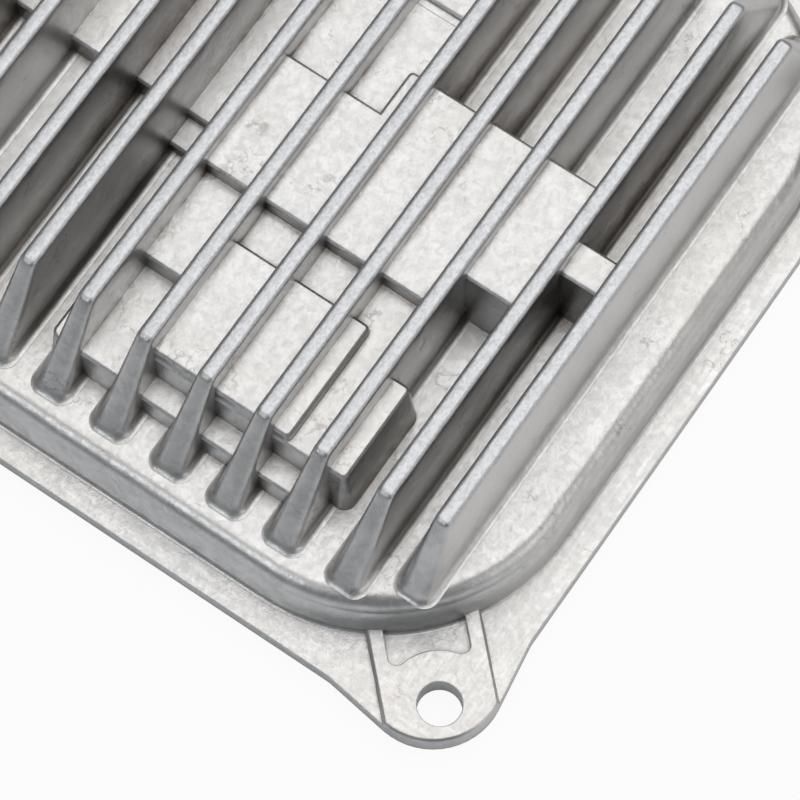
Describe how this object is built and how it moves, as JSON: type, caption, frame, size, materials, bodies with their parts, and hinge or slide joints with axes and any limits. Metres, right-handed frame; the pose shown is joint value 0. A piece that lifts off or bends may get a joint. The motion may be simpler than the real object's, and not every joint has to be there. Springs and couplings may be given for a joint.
{
  "type": "die cast housing",
  "caption": "Finned die cast aluminium housing cover with stepped blocks between the fins, a hollow underside and a screw ear at each corner.",
  "frame": {"origin": "centre of the flat mounting rim, on its plane", "axes": "+X along the cooling fins, +Y across the fins, +Z from the mounting rim up to the fin crests"},
  "size_m": [0.0914, 0.1064, 0.0191],
  "materials": {
    "cast_metal": "as-cast, fine mottled grain"
  },
  "bodies": {
    "root": {"housing": "cast_metal"}
  },
  "joints": []
}
